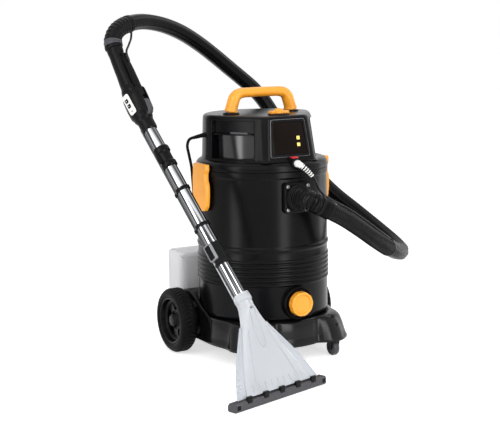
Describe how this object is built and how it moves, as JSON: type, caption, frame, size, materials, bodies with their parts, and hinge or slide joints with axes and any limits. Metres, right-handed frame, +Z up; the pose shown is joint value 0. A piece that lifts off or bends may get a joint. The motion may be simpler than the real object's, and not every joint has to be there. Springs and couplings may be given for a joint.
{
  "type": "carpet washer vacuum cleaner",
  "caption": "Wheeled canister carpet washer with a lift-off motor head, rear water tank, ribbed hose, telescopic wand and clear floor nozzle.",
  "frame": {"origin": "middle of the footprint of the rigid pieces, on the floor; the hose, water tubes, mains lead, its coil and its plug are left out of that footprint", "axes": "+Z up, -Y to the front of the machine, where the console, the hose inlet and the drain cap are, +X to the viewer's right"},
  "size_m": [0.8365, 0.9926, 0.9409],
  "materials": {
    "black_housing": "gloss",
    "black_fittings": "satin",
    "yellow_plastic": "satin",
    "chrome_tube": "polished",
    "steel": "brushed",
    "milky_plastic": "translucent satin",
    "clear_plastic": "frosted clear",
    "grey_plastic": "satin",
    "white_plastic": "satin",
    "red_plastic": "satin",
    "tyre_rubber": "matte",
    "hose_plastic": "satin",
    "sleeve_fabric": "woven",
    "lead_rubber": "matte",
    "window_plastic": "gloss",
    "lamp_plastic": "gloss",
    "filter_foam": "open cell"
  },
  "bodies": {
    "chassis": {"outer_tube": "chrome_tube", "upper_tube": "chrome_tube", "lock_sleeve": "black_fittings", "telescope_collar": "grey_plastic", "hand_grip": "black_housing", "grip_panel": "white_plastic", "water_pipe": "grey_plastic", "pipe_clip_upper": "black_fittings", "pipe_clip_lower": "black_fittings", "base_platform": "black_housing", "rear_axle": "steel", "drum": "black_housing", "inlet_flange": "black_housing", "inlet_elbow": "black_housing", "hose_cuff": "black_fittings", "ribbed_hose": "hose_plastic", "sleeved_hose": "sleeve_fabric", "water_tank": "milky_plastic", "hose_end_elbow": "hose_plastic", "coupling_plug": "white_plastic", "water_tube": "lead_rubber", "water_tube_loop": "lead_rubber", "mains_lead": "lead_rubber", "mains_coil": "lead_rubber", "mains_plug": "black_fittings"},
    "head": {"head_base": "black_housing", "head_cover": "black_housing", "carry_handle": "yellow_plastic", "console_window": "window_plastic", "lamp_upper": "lamp_plastic", "lamp_lower": "lamp_plastic", "motor": "steel", "water_pump": "grey_plastic", "float_cage": "grey_plastic", "filter_sleeve": "filter_foam", "cord_boot": "black_fittings", "drum_seal": "lead_rubber"},
    "knob": {"switch_knob": "yellow_plastic"},
    "latch_left_body": {"latch_left": "yellow_plastic"},
    "latch_right_body": {"latch_right": "yellow_plastic"},
    "float": {"float_ball": "white_plastic"},
    "coupling_tab": {"coupling_release": "red_plastic"},
    "tank_cap_body": {"tank_cap": "black_fittings"},
    "caster_left": {"caster_fork_left": "black_fittings"},
    "caster_right": {"caster_fork_right": "black_fittings"},
    "caster_roller_left": {"caster_wheel_left": "grey_plastic"},
    "caster_roller_right": {"caster_wheel_right": "grey_plastic"},
    "wheel_left_body": {"wheel_left": "black_fittings", "tyre_left": "tyre_rubber"},
    "wheel_right_body": {"wheel_right": "black_fittings", "tyre_right": "tyre_rubber"},
    "drain_cap_body": {"drain_cap": "yellow_plastic"},
    "telescope": {"inner_tube": "chrome_tube", "spray_pipe": "steel", "nozzle_body": "clear_plastic", "nozzle_bar": "grey_plastic"},
    "release_button_body": {"release_button": "grey_plastic"},
    "trigger": {"spray_trigger": "black_fittings"},
    "grip_button_upper_body": {"grip_button_upper": "black_fittings"},
    "grip_button_lower_body": {"grip_button_lower": "black_fittings"}
  },
  "joints": [
    {"name": "head_lift", "type": "slide", "parent": "chassis", "child": "head", "axis": [0, 0, 1], "range_m": [0, 0.16]},
    {"name": "switch_turn", "type": "hinge", "parent": "head", "child": "knob", "pos_m": [0.08068, 0.00201, 0.675], "axis": [0, 0, -1], "range_deg": [0, 90]},
    {"name": "latch_left_swing", "type": "hinge", "parent": "head", "child": "latch_left_body", "pos_m": [-0.10882, 0.09801, 0.534], "axis": [0, 1, 0], "range_deg": [0, 50]},
    {"name": "latch_right_swing", "type": "hinge", "parent": "head", "child": "latch_right_body", "pos_m": [0.27018, 0.09801, 0.534], "axis": [0, -1, 0], "range_deg": [0, 50]},
    {"name": "float_rise", "type": "slide", "parent": "head", "child": "float", "axis": [0, 0, 1], "range_m": [0, 0.035]},
    {"name": "coupling_release_press", "type": "slide", "parent": "head", "child": "coupling_tab", "axis": [0, 1, 0], "range_m": [0, 0.003], "stiffness_N_per_m": 400},
    {"name": "tank_cap_turn", "type": "hinge", "parent": "chassis", "child": "tank_cap_body", "pos_m": [0.18068, 0.33801, 0.267], "axis": [0, 0, 1], "range_deg": [0, 350]},
    {"name": "drain_cap_turn", "type": "hinge", "parent": "chassis", "child": "drain_cap_body", "pos_m": [0.08068, -0.10199, 0.167], "axis": [0, 1, 0], "range_deg": [0, 350]},
    {"name": "caster_swivel_left", "type": "hinge", "parent": "chassis", "child": "caster_left", "pos_m": [-0.04432, -0.07299, 0.056], "axis": [0, 0, 1], "continuous": true},
    {"name": "caster_roll_left", "type": "hinge", "parent": "caster_left", "child": "caster_roller_left", "pos_m": [-0.04432, -0.06699, 0.022], "axis": [1, 0, 0], "continuous": true},
    {"name": "wheel_roll_left", "type": "hinge", "parent": "chassis", "child": "wheel_left_body", "pos_m": [-0.13932, 0.20501, 0.09], "axis": [1, 0, 0], "continuous": true},
    {"name": "caster_swivel_right", "type": "hinge", "parent": "chassis", "child": "caster_right", "pos_m": [0.20568, -0.07299, 0.056], "axis": [0, 0, 1], "continuous": true},
    {"name": "caster_roll_right", "type": "hinge", "parent": "caster_right", "child": "caster_roller_right", "pos_m": [0.20568, -0.06699, 0.022], "axis": [1, 0, 0], "continuous": true},
    {"name": "wheel_roll_right", "type": "hinge", "parent": "chassis", "child": "wheel_right_body", "pos_m": [0.30068, 0.20501, 0.09], "axis": [1, 0, 0], "continuous": true},
    {"name": "telescope_slide", "type": "slide", "parent": "chassis", "child": "telescope", "axis": [-0.1851, 0.5979, 0.7799], "range_m": [0, 0.088]},
    {"name": "release_button_press", "type": "slide", "parent": "chassis", "child": "release_button_body", "axis": [0.9553, 0.2957, 0], "range_m": [0, 0.0025], "stiffness_N_per_m": 500},
    {"name": "trigger_squeeze", "type": "hinge", "parent": "chassis", "child": "trigger", "pos_m": [-0.26955, 0.12327, 0.73722], "axis": [-0.9553, -0.2957, 0], "range_deg": [0, 2.5], "stiffness_Nm_per_rad": 1},
    {"name": "grip_button_upper_press", "type": "slide", "parent": "chassis", "child": "grip_button_upper_body", "axis": [0.9553, 0.2957, 0], "range_m": [0, 0.0015], "stiffness_N_per_m": 500},
    {"name": "grip_button_lower_press", "type": "slide", "parent": "chassis", "child": "grip_button_lower_body", "axis": [0.9553, 0.2957, 0], "range_m": [0, 0.0015], "stiffness_N_per_m": 500}
  ]
}
